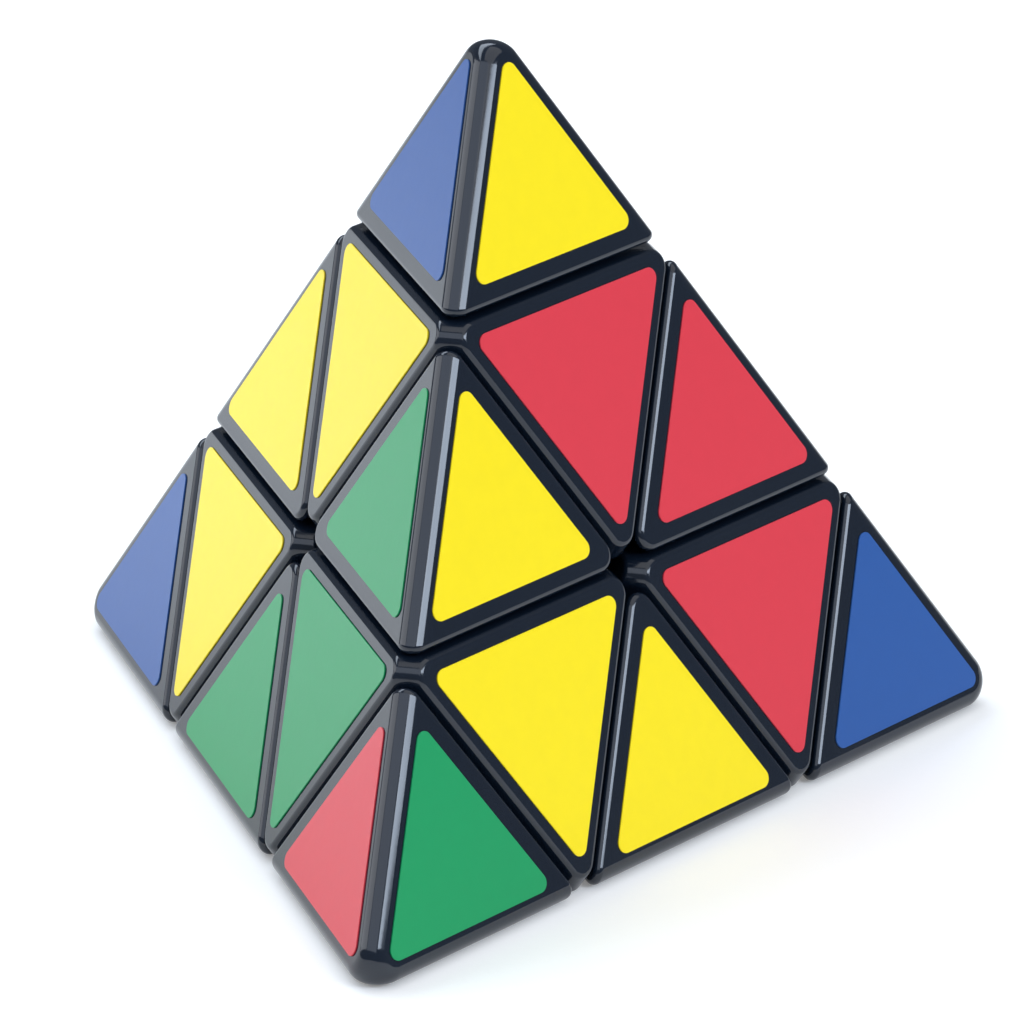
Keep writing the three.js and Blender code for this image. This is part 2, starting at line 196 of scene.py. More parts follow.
# %% The dome of a tip
def domed_cap(faces):
    """The ball that ends a tip. It touches the three ridges and rolls over into each face."""
    ball_radius = CAP_RADIUS - RIDGE_RADIUS
    sharp = meeting_point([inset(face, RIDGE_RADIUS) for face in faces])
    normals = [normal for normal, _ in faces]
    apex = sum(normals, Vector()).normalized()
    centre = sharp - apex * ball_radius * sqrt(3)
    points = []
    for i, normal in enumerate(normals):
        bisectors = [(normal + normals[(i + k) % 3]).normalized() for k in (1, 2)]
        half = normal.angle(bisectors[0])
        flats = [(b - normal * cos(half)).normalized() for b in bisectors]
        for around in fan(*flats, 2 * ROUND_STEPS):
            out = normal * cos(half) + around * sin(half)
            points += [centre + lean * CAP_RADIUS for lean in fan(apex, out, ROUND_STEPS)]
            rolled = fan(out, normal, ROUND_STEPS // 2)
            points += [centre + out * ball_radius + lean * RIDGE_RADIUS for lean in rolled]
    return points


# %% [markdown]
# ## Solids
#
# The plastic needs few shapes: a hull over points, a round solid turned about the top axis, and
# a ball. Boolean modifiers join and cut them. They could stay live on each piece, but the
# result is read back as a plain mesh, so that every later step sees the finished shape.

# %% Makers of plain solids
MERGE = 0.002 * MM  # points closer than this are one point
FLAT_ANGLE = radians(0.3)  # faces that turn less than this are one flat
ROUND_SIDES = 64


def mesh_from(bm, name="solid"):
    """A mesh with what was built in mesh code."""
    mesh = bpy.data.meshes.new(name)
    bm.to_mesh(mesh)
    bm.free()
    return mesh


def hull(points):
    """A closed mesh stretched over points, with its flats joined to single faces."""
    bm = bmesh.new()
    for point in points:
        bm.verts.new(point)
    bmesh.ops.remove_doubles(bm, verts=bm.verts, dist=MERGE)
    made = bmesh.ops.convex_hull(bm, input=bm.verts)
    spare = {v for v in made["geom_interior"] + made["geom_unused"] if isinstance(v, bmesh.types.BMVert)}
    bmesh.ops.delete(bm, geom=list(spare), context="VERTS")
    bmesh.ops.dissolve_limit(bm, angle_limit=FLAT_ANGLE, verts=bm.verts, edges=bm.edges)
    bmesh.ops.recalc_face_normals(bm, faces=bm.faces)
    return mesh_from(bm)


def ball(radius):
    """A ball round the core's centre."""
    bm = bmesh.new()
    bmesh.ops.create_icosphere(bm, subdivisions=5, radius=radius)
    return mesh_from(bm)


# %% Makers of round solids
def turned(profile):
    """A round solid about the top axis. The profile starts and ends on the axis."""
    bm = bmesh.new()
    rings = []
    for radius, height in profile:
        if radius == 0:
            rings.append([bm.verts.new((0, 0, height))] * ROUND_SIDES)
            continue
        angles = [2 * pi * i / ROUND_SIDES for i in range(ROUND_SIDES)]
        rings.append([bm.verts.new((radius * cos(a), radius * sin(a), height)) for a in angles])
    for lower, upper in zip(rings, rings[1:]):
        for i in range(ROUND_SIDES):
            k = (i + 1) % ROUND_SIDES
            corners = list(dict.fromkeys([lower[i], lower[k], upper[k], upper[i]]))
            if len(corners) > 2:
                bm.faces.new(corners)
    bmesh.ops.recalc_face_normals(bm, faces=bm.faces)
    return mesh_from(bm)


def outline(table, base=0.0):
    """A profile in metres from a table of radii and heights in millimetres over a base."""
    return [(radius * MM, base + height * MM) for radius, height in table]


def rod(radius, start, end):
    """A plain cylinder on the top axis."""
    return turned([(0, start), (radius, start), (radius, end), (0, end)])


# %% Joining and cutting
scene = bpy.context.scene


def plain_mesh(obj):
    """The finished shape of an object with its modifiers, as a plain mesh."""
    bpy.context.view_layer.update()
    evaluated = obj.evaluated_get(bpy.context.evaluated_depsgraph_get())
    return bpy.data.meshes.new_from_object(evaluated)


def combined(mesh, steps):
    """A mesh after boolean steps, each an operation and the mesh to do it with."""
    for operation, tool_mesh in steps:
        base = bpy.data.objects.new("base", mesh)
        tool = bpy.data.objects.new("tool", tool_mesh)
        scene.collection.objects.link(base)
        scene.collection.objects.link(tool)
        step = base.modifiers.new("step", "BOOLEAN")
        step.solver = "MANIFOLD"
        step.operation = operation
        step.object = tool
        mesh = plain_mesh(base)
        bpy.data.objects.remove(base)
        bpy.data.objects.remove(tool)
    return mesh


# %% [markdown]
# ## Colours and material nodes
#
# Colours are chosen as they look on a screen, in sRGB, while shaders work in linear light. One
# function does that change, and one function adds a node with its settings and links. The nodes
# could be wired by hand in the editor, but in the script each number stands beside its reason.


# %% Helpers for materials
def linear(hex_colour):
    """A linear colour from an sRGB hex value."""
    channels = [int(hex_colour[i : i + 2], 16) / 255 for i in (1, 3, 5)]
    return [c / 12.92 if c <= 0.04045 else ((c + 0.055) / 1.055) ** 2.4 for c in channels] + [1]


def add_node(tree, kind, inputs=None, **settings):
    """Adds a node, sets its properties, and sets or links each named input."""
    made = tree.nodes.new(kind)
    for key, value in settings.items():
        setattr(made, key, value)
    for key, value in (inputs or {}).items():
        socket = made.inputs[key]
        if isinstance(value, bpy.types.NodeSocket):
            tree.links.new(value, socket)
        else:
            socket.default_value = value
    return made


def new_material(name):
    """An empty material, and its tree."""
    material = bpy.data.materials.new(name)
    material.use_nodes = True
    material.node_tree.nodes.clear()
    return material, material.node_tree


def finish_material(tree, surface):
    """Ends a material in its output."""
    add_node(tree, "ShaderNodeOutputMaterial", {"Surface": surface.outputs[0]})


# %% [markdown]
# ## Black plastic
#
# The pieces are injection-moulded ABS, coloured blue-black right through. The mould is polished,
# so the surface is glossy with a very slight orange peel. Hands leave a faint haze, which shows
# as patches of slightly higher roughness. One fixed roughness would make every piece mirror the
# room alike, and an image of the haze would need unwrapping. Noise in Object coordinates needs
# neither, and its sizes are given in millimetres.

# %% Glossy moulded ABS
NOISE_LOW = 0.3  # nearly all of a noise texture lies between these two values
NOISE_HIGH = 0.7


def moulded_abs(name, hex_colour, peel=0.7 * MM, haze=12 * MM):
    """ABS with an IOR of 1.54. peel and haze are the sizes of the two patterns."""
    material, tree = new_material(name)
    place = add_node(tree, "ShaderNodeTexCoord").outputs["Object"]
    patches = add_node(
        tree, "ShaderNodeTexNoise", {"Vector": place, "Scale": 1 / haze, "Detail": 3.0, "Roughness": 0.6}
    )
    roughness = add_node(
        tree,
        "ShaderNodeMapRange",
        {
            "Value": patches.outputs["Fac"],
            "From Min": NOISE_LOW,
            "From Max": NOISE_HIGH,
            "To Min": 0.08,
            "To Max": 0.14,
        },
    )
    ripples = add_node(tree, "ShaderNodeTexNoise", {"Vector": place, "Scale": 1 / peel, "Detail": 1.0})
    bump = add_node(
        tree, "ShaderNodeBump", {"Height": ripples.outputs["Fac"], "Distance": 0.004 * MM, "Strength": 0.35}
    )
    surface = add_node(
        tree,
        "ShaderNodeBsdfPrincipled",
        {
            "Base Color": linear(hex_colour),
            "Roughness": roughness.outputs["Result"],
            "Normal": bump.outputs["Normal"],
            "IOR": 1.54,
        },
    )
    finish_material(tree, surface)
    return material


black_abs = moulded_abs("Moulded ABS, blue-black", "#101925")
print("material:", black_abs.name)

# %% [markdown]
# ## Vinyl film
#
# The colours are die-cut from printed vinyl film with a satin face. Its light orange peel
# spreads reflections more than the plastic does, and the ink has a very faint mottle. A sheen or
# a coat could make the satin face, but plain roughness and a fine bump are what the film has.

# %% Satin vinyl film
def vinyl_film(name, hex_colour, peel=0.9 * MM, mottle=1.6 * MM):
    """Printed film with an IOR of 1.5. peel and mottle are the sizes of the two patterns."""
    material, tree = new_material(name)
    place = add_node(tree, "ShaderNodeTexCoord").outputs["Object"]
    ink = add_node(tree, "ShaderNodeTexNoise", {"Vector": place, "Scale": 1 / mottle, "Detail": 2.0})
    strength = add_node(
        tree,
        "ShaderNodeMapRange",
        {
            "Value": ink.outputs["Fac"],
            "From Min": NOISE_LOW,
            "From Max": NOISE_HIGH,
            "To Min": 0.99,
            "To Max": 1.01,
        },
    )
    colour = add_node(
        tree,
        "ShaderNodeHueSaturation",
        {"Color": linear(hex_colour), "Value": strength.outputs["Result"]},
    )
    waves = add_node(tree, "ShaderNodeTexNoise", {"Vector": place, "Scale": 1 / peel, "Detail": 1.0})
    bump = add_node(
        tree, "ShaderNodeBump", {"Height": waves.outputs["Fac"], "Distance": 0.01 * MM, "Strength": 0.4}
    )
    surface = add_node(
        tree,
        "ShaderNodeBsdfPrincipled",
        {
            "Base Color": colour.outputs["Color"],
            "Roughness": 0.3,
            "Normal": bump.outputs["Normal"],
            "IOR": 1.5,
        },
    )
    finish_material(tree, surface)
    return material


FILM = {
    "yellow": vinyl_film("Vinyl film, yellow", "#f9de00"),
    "red": vinyl_film("Vinyl film, red", "#d93542"),
    "blue": vinyl_film("Vinyl film, blue", "#225397"),
    "green": vinyl_film("Vinyl film, green", "#009455"),
}
print("films:", ", ".join(FILM))

# %% [markdown]
# ## Metal parts
#
# A zinc-plated screw and a bright steel spring sit under each tip. Both are metals, so their
# colour is the colour of their reflection. Drawing leaves fine lines round the wire, and
# plating leaves a faint cloudiness. An anisotropic finish could draw the lines one by one, but
# on wire this thin they blur together, so noise in the roughness does for both.

# %% Plated and drawn steel
def bright_metal(name, hex_colour, low, high, grain):
    """A metal whose roughness varies between two values, over patches of one size."""
    material, tree = new_material(name)
    place = add_node(tree, "ShaderNodeTexCoord").outputs["Object"]
    clouds = add_node(tree, "ShaderNodeTexNoise", {"Vector": place, "Scale": 1 / grain, "Detail": 4.0})
    roughness = add_node(
        tree,
        "ShaderNodeMapRange",
        {
            "Value": clouds.outputs["Fac"],
            "From Min": NOISE_LOW,
            "From Max": NOISE_HIGH,
            "To Min": low,
            "To Max": high,
        },
    )
    surface = add_node(
        tree,
        "ShaderNodeBsdfPrincipled",
        {"Base Color": linear(hex_colour), "Metallic": 1.0, "Roughness": roughness.outputs["Result"]},
    )
    finish_material(tree, surface)
    return material


zinc = bright_metal("Zinc-plated steel", "#c4c7cc", low=0.28, high=0.42, grain=1.2 * MM)
spring_steel = bright_metal("Drawn spring steel", "#b3b4b8", low=0.2, high=0.32, grain=0.3 * MM)
print("metals:", zinc.name, "and", spring_steel.name)

# %% [markdown]
# ## Smooth shading
#
# Plastic that has just left a polished mould has dead flat faces and unbroken curves. Smooth
# shading alone would bend the light on the flats near their edges. A Weighted Normal modifier
# lets the large flats decide, so only the roundings look round.

# %% Finish a piece of plastic
SHARP_ANGLE = radians(40)
FULL_WEIGHT = 100


def plastic_piece(name, mesh, turn, node):
    """One copy of a shape, turned into place in its mesh, which stands for a CAD node."""
    copy = mesh.copy()
    copy.transform(turn.to_4x4())
    copy.shade_smooth()
    copy.set_sharp_from_angle(angle=SHARP_ANGLE)
    piece = bpy.data.objects.new(name, copy)
    scene.collection.objects.link(piece)
    weighted = piece.modifiers.new("flats decide", "WEIGHTED_NORMAL")
    weighted.keep_sharp = True
    weighted.weight = FULL_WEIGHT
    finished = plain_mesh(piece)
    piece.modifiers.clear()
    piece.data = finished
    piece.data.name = name
    piece.data.materials.clear()
    piece.data.materials.append(black_abs)
    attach(piece, node)
    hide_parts(node)


# %% Turns into place
def turn_to(z_direction, y_direction):
    """The turn that takes Z to one direction and Y as near as it can to another."""
    z = z_direction.normalized()
    y = (y_direction - z * y_direction.dot(z)).normalized()
    return Matrix((y.cross(z), y, z)).transposed()


def turn_to_corner(corner):
    """The turn from the top axis to a corner's axis."""
    neighbour = "top" if corner == "front" else "front"
    from_top = turn_to(AXIS["top"], AXIS["front"])
    return turn_to(AXIS[corner], AXIS[neighbour]) @ from_top.inverted()


def turn_to_edge(first, second):
    """The turn from between the top and front corners to between two others."""
    home = turn_to(AXIS["top"] + AXIS["front"], AXIS["top"] - AXIS["front"])
    return turn_to(AXIS[first] + AXIS[second], AXIS[first] - AXIS[second]) @ home.inverted()


# %% [markdown]
# ## Tips
#
# A tip is a small tetrahedron with a domed end and three rolled ridges. A round socket in its
# base snaps over the collar of the piece under it. It could be carved from a block with one cut
# for each flat, but a hull gives all the flats and roundings at once, and only the socket is
# cut.

# %% Tips
TIP_GAP = 0.5 * MM
tip_faces = outer_faces(["left", "right", "front"])
tip_base = above("top", TIP_CUT + TIP_GAP / 2)
tip_points = domed_cap(tip_faces)
for i, face in enumerate(tip_faces):
    tip_points += rounded_end(face, tip_faces[(i + 1) % 3], RIDGE_RADIUS, tip_base)

# The neck of the socket, the groove that the snap rim rests in, and a hollow that ends in a cone.
SOCKET = [(0, -1), (4.1, -1), (4.1, 1.8), (4.6, 1.8), (4.6, 3.7), (0, 16.5)]
tip_shape = combined(hull(tip_points), [("DIFFERENCE", turned(outline(SOCKET, TIP_CUT)))])
for corner in CORNERS:
    plastic_piece(f"Tip-{corner}", tip_shape, turn_to_corner(corner), f"tip_{corner}")
print("tip:", len(tip_shape.polygons), "faces")

# %% [markdown]
# ## Axial pieces
#
# An axial piece is an octahedron. Three of its six corners lie on the ridges of the puzzle, and
# three meet in the middle of the faces, where their rounding leaves a small star-shaped hole.
# A stem turns on the core's arm, and a collar with a snap rim holds the tip. The octahedron is
# a hull again, and the round parts are turned, because a lathe is how their mould is made.

# %% The octahedron
LAYER_GAP = 0.4 * MM
HOLLOW = 15.3 * MM  # the outer pieces stop at this sphere


def octahedron_points():
    """The roundings of the top axial piece."""
    to_tip = below("top", TIP_CUT - TIP_GAP / 2)
    to_core = above("top", LAYER_CUT + LAYER_GAP / 2)
    points = []
    for corner in others_than("top"):
        (outer,) = outer_faces([corner])
        to_layers = [below(other, LAYER_CUT - LAYER_GAP / 2) for other in others_than("top", corner)]
        for to_layer in to_layers:
            points += rounded_corner(outer, [to_tip, to_layer], WALL_RADIUS)
        points += rounded_corner(outer, to_layers, WALL_RADIUS)
        points += rounded_corner(to_core, to_layers, WALL_RADIUS)
    return points


# %% The stem and the collar
STEM_SLOPE = sqrt(1 / 8)  # keeps the stem out of the path of the edge pieces' feet
STEM_CLEARANCE = 0.265 * MM
STEM_START = 10.35 * MM
STEM_END = 17 * MM
stem = turned(
    [
        (0, STEM_START),
        (STEM_START * STEM_SLOPE - STEM_CLEARANCE, STEM_START),
        (STEM_END * STEM_SLOPE - STEM_CLEARANCE, STEM_END),
        (0, STEM_END),
    ]
)
# A plain neck, then the snap rim, which is widest between 2.4 and 2.6 mm over the cut.
COLLAR_FOOT = [(0, -2), (3.8, -2), (3.8, 2.1)]
SNAP_RIM = [(4.2, 2.25), (4.3, 2.4), (4.3, 2.6), (4.2, 2.8), (3.7, 3.3), (0, 3.3)]
collar = turned(outline(COLLAR_FOOT + SNAP_RIM, TIP_CUT))

# %% Axial pieces
arm_bore = rod(radius=2 * MM, start=9 * MM, end=19 * MM)
spring_pocket = rod(radius=2.9 * MM, start=17.6 * MM, end=TIP_CUT + 5 * MM)
axial_shape = combined(
    hull(octahedron_points()),
    [
        ("DIFFERENCE", ball(HOLLOW)),
        ("UNION", stem),
        ("UNION", collar),
        ("DIFFERENCE", arm_bore),
        ("DIFFERENCE", spring_pocket),
    ],
)
for corner in CORNERS:
    plastic_piece(f"Axial-{corner}", axial_shape, turn_to_corner(corner), f"axial_{corner}")
print("axial piece:", len(axial_shape.polygons), "faces")

# %% [markdown]
# ## Edge pieces
#
# An edge piece is a tetrahedron lying between two corners. Its only long rolled edge is on the
# ridge of the puzzle. Behind it, a neck reaches inwards to a foot, a slice of a spherical shell
# that slides in the hollow round the core and keeps the piece from falling out. The foot could
# be revolved, but its sides are flat and its faces are parts of balls, so a wedge that two
# balls cut gives it exactly.

# %% The head
edge_faces = outer_faces(["left", "right"])
edge_sides = [above(corner, LAYER_CUT + LAYER_GAP / 2) for corner in ("top", "front")]
edge_points = []
for side in edge_sides:
    edge_points += rounded_end(*edge_faces, RIDGE_RADIUS, side)
for face in edge_faces:
    edge_points += rounded_end(*edge_sides, WALL_RADIUS, face)

# %% The wedge behind the head
FOOT_GAP = 0.2 * MM
SAME_PLANE = 0.001 * MM  # a point this near to a plane lies on it
NEARLY_PARALLEL = 1e-6  # planes whose normals span less than this don't meet in a point


def sharp_corners(planes):
    """The corners of the sharp solid between planes."""
    corners = []
    for trio in combinations(planes, 3):
        if abs(Matrix([normal for normal, _ in trio]).determinant()) < NEARLY_PARALLEL:
            continue
        corner = meeting_point(trio)
        if all(normal.dot(corner) < distance + SAME_PLANE for normal, distance in planes):
            corners.append(corner)
    return corners


wedge_sides = [above("top", FOOT_GAP), above("front", FOOT_GAP)]
wedge_sides += [below("left", -FOOT_GAP), below("right", -FOOT_GAP)]
wedge = hull(sharp_corners(wedge_sides + edge_faces))
print("wedge:", len(wedge.polygons), "faces")

# %% Edge pieces
FOOT_OUTSIDE = 15 * MM
FOOT_INSIDE = 10.3 * MM
NECK_OVERLAP = 0.3 * MM
head = hull(edge_points)
neck = combined(head, [("INTERSECT", wedge), ("INTERSECT", ball(HOLLOW + NECK_OVERLAP))])
foot = combined(wedge, [("INTERSECT", ball(FOOT_OUTSIDE)), ("DIFFERENCE", ball(FOOT_INSIDE))])
edge_shape = combined(head, [("DIFFERENCE", ball(HOLLOW)), ("UNION", neck), ("UNION", foot)])
for first, second in EDGES:
    turn = turn_to_edge(first, second)
    plastic_piece(f"Edge-{first}-{second}", edge_shape, turn, f"edge_{first}_{second}")
print("edge piece:", len(edge_shape.polygons), "faces")

# %% [markdown]
# ## Core
#
# The core never shows, but it holds everything: a ball with four arms, each with a screw hole.
# The mould gives each arm a small fillet at its root, so that it doesn't snap off. The four
# arms are alike, so one arm and one hole are made on the top axis and turned to each corner.

# %% Core
CORE_RADIUS = 10 * MM
ARM_ROOT = [(0, 5), (2.5, 5), (2.5, 9.72), (2.1, 9.83), (1.82, 10.02), (1.7, 10.3)]
ARM_END = [(1.7, 17), (1.5, 17.2), (0, 17.2)]
arm = turned(outline(ARM_ROOT + ARM_END))
screw_hole = rod(radius=1.2 * MM, start=8 * MM, end=18 * MM)
core_shape = ball(CORE_RADIUS)
for corner in CORNERS:
    for operation, tool in (("UNION", arm), ("DIFFERENCE", screw_hole)):
        turned_tool = tool.copy()
        turned_tool.transform(turn_to_corner(corner).to_4x4())
        core_shape = combined(core_shape, [(operation, turned_tool)])
plastic_piece("Core", core_shape, Matrix.Identity(3), "core")
print("core:", len(core_shape.polygons), "faces")

# %% [markdown]
# ## A tree of geometry nodes
#
# Springs, screw threads and film triangles repeat and follow a rule, so Geometry Nodes make
# them. Each tree gets named inputs for its sizes. A modifier stores an input under its socket's
# identifier, so one function looks that up, sets the values and turns the result into a plain
# mesh.

# %% Helpers for geometry nodes
SOCKETS = {float: "NodeSocketFloat", int: "NodeSocketInt", tuple: "NodeSocketVector"}


def new_tree(name, **inputs):
    """An empty tree with a named input for each default value, and a Material input."""
    tree = bpy.data.node_groups.new(name, "GeometryNodeTree")
    tree.interface.new_socket("Geometry", in_out="INPUT", socket_type="NodeSocketGeometry")
    for key, default in inputs.items():
        made = tree.interface.new_socket(
            key.replace("_", " "), in_out="INPUT", socket_type=SOCKETS[type(default)]
        )
        made.default_value = default
    tree.interface.new_socket("Material", in_out="INPUT", socket_type="NodeSocketMaterial")
    tree.interface.new_socket("Geometry", in_out="OUTPUT", socket_type="NodeSocketGeometry")
    return tree, tree.nodes.new("NodeGroupInput").outputs


def finish_tree(tree, geometry, given):
    """Ends a tree in Realize Instances and Set Material."""
    real = add_node(tree, "GeometryNodeRealizeInstances", {"Geometry": geometry})
    painted = add_node(
        tree,
        "GeometryNodeSetMaterial",
        {"Geometry": real.outputs["Geometry"], "Material": given["Material"]},
    )
    add_node(tree, "NodeGroupOutput", {"Geometry": painted.outputs["Geometry"]})


def grown(name, mesh, tree, material, **values):
    """A plain object from a tree, which starts from a mesh and the values of its inputs."""
    piece = bpy.data.objects.new(name, mesh)
    scene.collection.objects.link(piece)
    modifier = piece.modifiers.new(tree.name, "NODES")
    modifier.node_group = tree
    sockets = {item.name: item.identifier for item in tree.interface.items_tree if item.in_out == "INPUT"}
    modifier[sockets["Material"]] = material
    for key, value in values.items():
        modifier[sockets[key.replace("_", " ")]] = value
    finished = plain_mesh(piece)
    piece.modifiers.clear()
    piece.data = finished
    piece.data.name = name
    return piece


# %% [markdown]
# ## Springs
#
# A compression spring is one wire wound in a helix. Its end coils are wound closed, so that it
# stands square. A Screw modifier could wind it, but only with evenly spaced coils. The tree
# bends a straight line into the helix instead: the angle grows evenly along the wire, while the
# height follows a smooth step, which closes the coils at both ends. One coil is then set on
# each arm, turned to point away from the core.

# %% A helix
def helix(tree, given, start, height):
    """A curve that winds about Z, with its coils closed at both ends."""
    count = add_node(tree, "ShaderNodeMath", {0: given["Turns"], 1: given["Steps"]}, operation="MULTIPLY")
    line = add_node(tree, "GeometryNodeCurvePrimitiveLine")
    wire = add_node(
        tree,
        "GeometryNodeResampleCurve",
        {"Curve": line.outputs["Curve"], "Count": count.outputs["Value"]},
        mode="COUNT",
    )
    along = add_node(tree, "GeometryNodeSplineParameter").outputs["Factor"]
    turns = add_node(tree, "ShaderNodeMath", {0: along, 1: given["Turns"]}, operation="MULTIPLY")
    angle = add_node(tree, "ShaderNodeMath", {0: turns.outputs["Value"], 1: 2 * pi}, operation="MULTIPLY")
    place = {}
    for axis, function in (("X", "COSINE"), ("Y", "SINE")):
        share = add_node(tree, "ShaderNodeMath", {0: angle.outputs["Value"]}, operation=function)
        reach = {0: share.outputs["Value"], 1: given["Radius"]}
        place[axis] = add_node(tree, "ShaderNodeMath", reach, operation="MULTIPLY").outputs["Value"]
    rise = add_node(
        tree,
        "ShaderNodeMapRange",
        {"Value": along, "To Min": start, "To Max": height},
        interpolation_type="SMOOTHSTEP",
    )
    place["Z"] = rise.outputs["Result"]
    point = add_node(tree, "ShaderNodeCombineXYZ", place)
    bent = add_node(
        tree,
        "GeometryNodeSetPosition",
        {"Geometry": wire.outputs["Curve"], "Position": point.outputs["Vector"]},
    )
    return bent.outputs["Geometry"]


# %% The tree for the springs
SPRING_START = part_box("spring_top")[0].z
SPRING_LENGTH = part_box("spring_top")[1].z - SPRING_START
spring_tree, given = new_tree(
    "Springs on arms", Radius=2.35 * MM, Wire=0.25 * MM, Height=SPRING_LENGTH, Turns=5.5, Steps=40
)
last_centre = add_node(
    spring_tree, "ShaderNodeMath", {0: given["Height"], 1: given["Wire"]}, operation="SUBTRACT"
)
coil = helix(spring_tree, given, given["Wire"], last_centre.outputs["Value"])
round_wire = add_node(
    spring_tree, "GeometryNodeCurvePrimitiveCircle", {"Resolution": 12, "Radius": given["Wire"]}
)
swept = add_node(
    spring_tree,
    "GeometryNodeCurveToMesh",
    {"Curve": coil, "Profile Curve": round_wire.outputs["Curve"], "Fill Caps": True},
)
outwards = add_node(
    spring_tree,
    "FunctionNodeAlignRotationToVector",
    {"Vector": add_node(spring_tree, "GeometryNodeInputPosition").outputs["Position"]},
    axis="Z",
)
springs_set = add_node(
    spring_tree,
    "GeometryNodeInstanceOnPoints",
    {
        "Points": given["Geometry"],
        "Instance": swept.outputs["Mesh"],
        "Rotation": outwards.outputs["Rotation"],
    },
)
finish_tree(spring_tree, springs_set.outputs["Instances"], given)
print("spring tree:", len(spring_tree.nodes), "nodes")

# %% Springs
spring_seats = bpy.data.meshes.new("spring seats")
spring_seats.from_pydata([AXIS[corner] * SPRING_START for corner in CORNERS], [], [])
springs = grown("Springs", spring_seats, spring_tree, spring_steel, Height=SPRING_LENGTH)
springs.data.shade_smooth()
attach(springs, "core")
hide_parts(*[f"spring_{corner}" for corner in CORNERS])
print("springs:", len(springs.data.polygons), "faces")

# %% [markdown]
# ## Screws
#
# A pan-head screw presses each spring down. Its head is turned and its cross recess is cut. The
# thread could be a bump in the material, but a real ridge also shows in the outline. It is a
# second helix, swept with a small triangle, which the tree adds to the shank.

# %% The blank of a screw
HEAD_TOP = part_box("screw_top")[1].z
SHANK_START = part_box("screw_top")[0].z
HEAD_START = 24.6 * MM
THREAD_ROOT = 0.72  # the radius in mm that the thread stands on
# Heights count from the end of the shank, and then from the underside of the head.
POINT = [(0, 0), (0.3, 0), (THREAD_ROOT, 1.4)]
SHANK = [(THREAD_ROOT, -2), (0.9, -1.8), (0.9, 0)]
HEAD = [(2.55, 0), (2.6, 0.06), (2.6, 0.7), (2.5, 1.0), (2.25, 1.3), (1.8, 1.5)]
blank = turned([*outline(POINT, SHANK_START), *outline(SHANK + HEAD, HEAD_START), (0, HEAD_TOP)])

# %% The cross recess
SLOT_LENGTH = 3 * MM
SLOT_WIDTH = 0.7 * MM
SLOT_DEPTH = 0.9 * MM
SLOT_FOOT = 0.55  # the foot's share of the length and the width


def tapered_slot(x_size, y_size):
    """A slot across the top of the head, which narrows towards its foot."""
    bm = bmesh.new()
    for vert in bmesh.ops.create_cube(bm, size=1)["verts"]:
        taper = SLOT_FOOT if vert.co.z < 0 else 1.0
        height = HEAD_TOP + vert.co.z * 2 * SLOT_DEPTH
        vert.co = (vert.co.x * x_size * taper, vert.co.y * y_size * taper, height)
    return mesh_from(bm)


cross = combined(tapered_slot(SLOT_LENGTH, SLOT_WIDTH), [("UNION", tapered_slot(SLOT_WIDTH, SLOT_LENGTH))])
screw_blank = combined(blank, [("DIFFERENCE", cross)])
print("screw blank:", len(screw_blank.polygons), "faces")

# %% The tree for the thread
screw_tree, given = new_tree(
    "Thread on a screw",
    Radius=THREAD_ROOT * MM,
    Ridge=0.2 * MM,
    Start=9.6 * MM,
    End=22.4 * MM,
    Turns=14.0,
    Steps=20,
    Turn=(0.0, 0.0, 0.0),
)
winding = helix(screw_tree, given, given["Start"], given["End"])
ridge = add_node(
    screw_tree, "GeometryNodeCurvePrimitiveCircle", {"Resolution": 3, "Radius": given["Ridge"]}
)
thread = add_node(
    screw_tree,
    "GeometryNodeCurveToMesh",
    {"Curve": winding, "Profile Curve": ridge.outputs["Curve"], "Fill Caps": True},
)
both = add_node(screw_tree, "GeometryNodeJoinGeometry")
screw_tree.links.new(given["Geometry"], both.inputs["Geometry"])
screw_tree.links.new(thread.outputs["Mesh"], both.inputs["Geometry"])
screw_in_place = add_node(
    screw_tree, "GeometryNodeTransform", {"Geometry": both.outputs["Geometry"], "Rotation": given["Turn"]}
)
finish_tree(screw_tree, screw_in_place.outputs["Geometry"], given)
print("thread tree:", len(screw_tree.nodes), "nodes")

# %% Screws
THREAD_ANGLE = radians(30)
for corner in CORNERS:
    turn = tuple(turn_to_corner(corner).to_euler())
    screw = grown(f"Screw-{corner}", screw_blank.copy(), screw_tree, zinc, Turn=turn)
    screw.data.shade_smooth()
    screw.data.set_sharp_from_angle(angle=THREAD_ANGLE)
    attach(screw, "core")
    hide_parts(f"screw_{corner}")
print("screw:", len(screw.data.polygons), "faces")

# %% [markdown]
# ## Stickers
#
# Every colour is a die-cut triangle of vinyl film with small round corners. It could be painted
# on the plastic by a material, but real film has an edge that catches the light. The shape
# follows a rule, so one tree makes all 36: a three-sided curve gets its corners rounded, is
# filled, and is given the thickness of the film. Only the side, the place, the turn and the
# colour change.

# %% The outline of the film
FILM_THICKNESS = 0.12 * MM
STICKER_SIDE = {"tip": 23.8 * MM, "edge": 24.2 * MM, "axial": 27.5 * MM}
STICKER_CORNER = 1.0 * MM
film_tree, given = new_tree(
    "Film triangle",
    Side=STICKER_SIDE["edge"],
    Corner=STICKER_CORNER,
    Corner_steps=10,
    Thickness=FILM_THICKNESS,
    Place=(0.0, 0.0, 0.0),
    Turn=(0.0, 0.0, 0.0),
)
reach = add_node(film_tree, "ShaderNodeMath", {0: given["Side"], 1: sqrt(3)}, operation="DIVIDE")
triangle = add_node(
    film_tree, "GeometryNodeCurvePrimitiveCircle", {"Resolution": 3, "Radius": reach.outputs["Value"]}
)
rounded = add_node(
    film_tree,
    "GeometryNodeFilletCurve",
    {"Curve": triangle.outputs["Curve"], "Count": given["Corner steps"], "Radius": given["Corner"]},
    mode="POLY",
)

